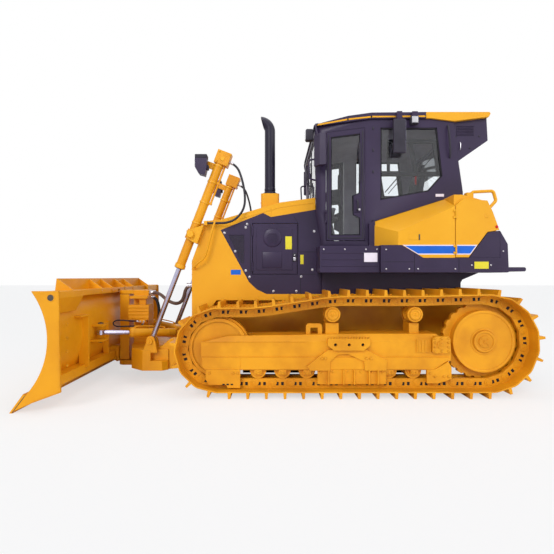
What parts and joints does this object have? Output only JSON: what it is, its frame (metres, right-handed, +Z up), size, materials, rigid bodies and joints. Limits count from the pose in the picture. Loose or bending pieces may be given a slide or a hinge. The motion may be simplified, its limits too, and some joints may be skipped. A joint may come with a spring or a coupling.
{
  "type": "crawler dozer",
  "caption": "Crawler dozer with a six-way straight blade on a push frame, fixed tracks, a closed cab, and opening cab, engine and service doors.",
  "frame": {"origin": "centre of the bounding box at ground level, under the grouser tips", "axes": "+X to the rear, along the length; +Y to the machine's right side; +Z up"},
  "size_m": [5.5328, 3.48, 3.4908],
  "materials": {
    "body_yellow": "semi-gloss",
    "body_dark": "satin",
    "undercarriage_yellow": "semi-gloss",
    "blade_yellow": "semi-gloss",
    "rod_chrome": "polished",
    "glass": "clear",
    "steel_dark": "matt",
    "interior": "matt",
    "seat_fabric": "matt",
    "stack_black": "satin",
    "hose_rubber": "matt",
    "hose_sleeve": "matt"
  },
  "bodies": {
    "machine": {"cab_fittings": "body_dark", "cab_glass": "glass", "cab_roof": "body_dark", "cab_shell": "body_dark", "console": "interior", "deck": "body_dark", "drawbar": "body_dark", "engine_block": "steel_dark", "exhaust_base": "body_yellow", "exhaust_stack": "stack_black", "front_hose": "hose_sleeve", "hoist_hoses": "hose_rubber", "hoist_yoke": "body_yellow", "hood": "body_yellow", "hull": "undercarriage_yellow", "radiator_grille": "body_dark", "radiator_guard": "body_yellow", "rear_roof_box": "body_dark", "rear_tank": "body_yellow", "rollers_idlers": "undercarriage_yellow", "roof_overhang": "body_yellow", "seat": "seat_fabric", "side_boxes": "body_yellow", "side_panels": "body_dark", "skirts": "body_dark", "sprockets": "undercarriage_yellow", "track_frame_left": "undercarriage_yellow", "track_frame_right": "undercarriage_yellow", "track_left": "undercarriage_yellow", "track_right": "undercarriage_yellow"},
    "left_cab_door": {"cab_door_left": "body_dark", "door_glass_left": "glass"},
    "right_cab_door": {"cab_door_right": "body_dark", "door_glass_right": "glass"},
    "left_engine_door": {"engine_door_left": "body_dark"},
    "right_engine_door": {"engine_door_right": "body_dark"},
    "left_box_door": {"box_door_left": "body_yellow"},
    "right_box_door": {"box_door_right": "body_yellow"},
    "push_frame_body": {"push_frame": "blade_yellow", "tower": "blade_yellow", "frame_hoses": "hose_rubber"},
    "carrier_body": {"blade_carrier": "blade_yellow"},
    "blade_body": {"blade": "blade_yellow", "blade_mounts": "blade_yellow", "cutting_edge": "blade_yellow"},
    "left_hoist_barrel": {"hoist_barrel_left": "blade_yellow", "work_lamp_left": "body_dark"},
    "right_hoist_barrel": {"hoist_barrel_right": "blade_yellow", "work_lamp_right": "body_dark"},
    "left_hoist_rod": {"hoist_rod_left": "rod_chrome"},
    "right_hoist_rod": {"hoist_rod_right": "rod_chrome"},
    "left_angle_ball": {"angle_ball_left": "blade_yellow"},
    "right_angle_ball": {"angle_ball_right": "blade_yellow"},
    "left_angle_barrel": {"angle_barrel_left": "blade_yellow"},
    "right_angle_barrel": {"angle_barrel_right": "blade_yellow"},
    "left_angle_rod": {"angle_rod_left": "rod_chrome"},
    "right_angle_rod": {"angle_rod_right": "rod_chrome"},
    "tilt_barrel_body": {"tilt_barrel": "blade_yellow"},
    "tilt_rod_body": {"tilt_rod": "rod_chrome"}
  },
  "joints": [
    {"name": "cab_door_left_hinge", "type": "hinge", "parent": "machine", "child": "left_cab_door", "pos_m": [0.438, -0.789, 2.4], "axis": [0, 0, 1], "range_deg": [-95, 0]},
    {"name": "cab_door_right_hinge", "type": "hinge", "parent": "machine", "child": "right_cab_door", "pos_m": [0.438, 0.789, 2.4], "axis": [0, 0, 1], "range_deg": [0, 95]},
    {"name": "engine_door_left_hinge", "type": "hinge", "parent": "machine", "child": "left_engine_door", "pos_m": [-0.453, -0.647, 1.678], "axis": [0, 0, 1], "range_deg": [-110, 0]},
    {"name": "engine_door_right_hinge", "type": "hinge", "parent": "machine", "child": "right_engine_door", "pos_m": [-0.453, 0.647, 1.678], "axis": [0, 0, 1], "range_deg": [0, 110]},
    {"name": "box_door_left_hinge", "type": "hinge", "parent": "machine", "child": "left_box_door", "pos_m": [1.866, -1.108, 1.85], "axis": [0, 0, 1], "range_deg": [-110, 0]},
    {"name": "box_door_right_hinge", "type": "hinge", "parent": "machine", "child": "right_box_door", "pos_m": [1.866, 1.108, 1.85], "axis": [0, 0, 1], "range_deg": [0, 110]},
    {"name": "blade_lift", "type": "hinge", "parent": "machine", "child": "push_frame_body", "pos_m": [0.3, 0, 0.43], "axis": [0, 1, 0], "range_deg": [-9.5, 21], "deforming": ["front_hose"]},
    {"name": "blade_angle", "type": "hinge", "parent": "push_frame_body", "child": "carrier_body", "pos_m": [-2.235, 0, 0.276], "axis": [0, 0, 1], "range_deg": [-23, 23]},
    {"name": "blade_tilt", "type": "hinge", "parent": "carrier_body", "child": "blade_body", "pos_m": [-2.235, 0, 0.276], "axis": [-1, 0, 0], "range_deg": [-7.4, 7.4]},
    {"name": "hoist_swing_left", "type": "hinge", "parent": "machine", "child": "left_hoist_barrel", "pos_m": [-1.20526, -0.62, 1.85], "axis": [0, 1, 0], "range_deg": [-4.2, 9.1], "deforming": ["hoist_hoses"]},
    {"name": "hoist_stroke_left", "type": "slide", "parent": "left_hoist_barrel", "child": "left_hoist_rod", "axis": [-0.3593, 0, -0.9332], "range_m": [-0.72, 0.33]},
    {"name": "angle_swing_left", "type": "hinge", "parent": "push_frame_body", "child": "left_angle_ball", "pos_m": [-1.47, -0.15, 0.575], "axis": [0, 0, 1], "range_deg": [-10.7, 10.7]},
    {"name": "angle_pitch_left", "type": "hinge", "parent": "left_angle_ball", "child": "left_angle_barrel", "pos_m": [-1.47, -0.15, 0.575], "axis": [0.5465, -0.7411, 0.3901], "range_deg": [-6, 6]},
    {"name": "angle_stroke_left", "type": "slide", "parent": "left_angle_barrel", "child": "left_angle_rod", "axis": [-0.8217, -0.5643, 0.0792], "range_m": [-0.226, 0.226]},
    {"name": "hoist_swing_right", "type": "hinge", "parent": "machine", "child": "right_hoist_barrel", "pos_m": [-1.20526, 0.62, 1.85], "axis": [0, 1, 0], "range_deg": [-4.2, 9.1]},
    {"name": "hoist_stroke_right", "type": "slide", "parent": "right_hoist_barrel", "child": "right_hoist_rod", "axis": [-0.3593, 0, -0.9332], "range_m": [-0.72, 0.33]},
    {"name": "angle_swing_right", "type": "hinge", "parent": "push_frame_body", "child": "right_angle_ball", "pos_m": [-1.47, 0.15, 0.575], "axis": [0, 0, 1], "range_deg": [-10.7, 10.7]},
    {"name": "angle_pitch_right", "type": "hinge", "parent": "right_angle_ball", "child": "right_angle_barrel", "pos_m": [-1.47, 0.15, 0.575], "axis": [0.5465, 0.7411, 0.3901], "range_deg": [-6, 6]},
    {"name": "angle_stroke_right", "type": "slide", "parent": "right_angle_barrel", "child": "right_angle_rod", "axis": [-0.8217, 0.5643, 0.0792], "range_m": [-0.226, 0.226]},
    {"name": "tilt_swing", "type": "hinge", "parent": "carrier_body", "child": "tilt_barrel_body", "pos_m": [-2.235, 0.15, 1.015], "axis": [-1, 0, 0], "range_deg": [-9.8, 9.8]},
    {"name": "tilt_stroke", "type": "slide", "parent": "tilt_barrel_body", "child": "tilt_rod_body", "axis": [0, 1, 0], "range_m": [-0.11, 0.11]}
  ],
  "couplings": [
    {"joint": "hoist_swing_left", "follows": "blade_lift", "ratio": 0.43},
    {"joint": "hoist_stroke_left", "follows": "blade_lift", "m_per_rad": -1.955},
    {"joint": "angle_swing_left", "follows": "blade_angle", "ratio": 0.46},
    {"joint": "angle_pitch_left", "follows": "blade_tilt", "ratio": -0.7905},
    {"joint": "angle_stroke_left", "follows": "blade_angle", "m_per_rad": -0.555},
    {"joint": "hoist_swing_right", "follows": "blade_lift", "ratio": 0.43},
    {"joint": "hoist_stroke_right", "follows": "blade_lift", "m_per_rad": -1.955},
    {"joint": "angle_swing_right", "follows": "blade_angle", "ratio": 0.46},
    {"joint": "angle_pitch_right", "follows": "blade_tilt", "ratio": -0.7905},
    {"joint": "angle_stroke_right", "follows": "blade_angle", "m_per_rad": 0.555},
    {"joint": "tilt_swing", "follows": "blade_tilt", "ratio": 1.303},
    {"joint": "tilt_stroke", "follows": "blade_tilt", "m_per_rad": 0.739}
  ]
}
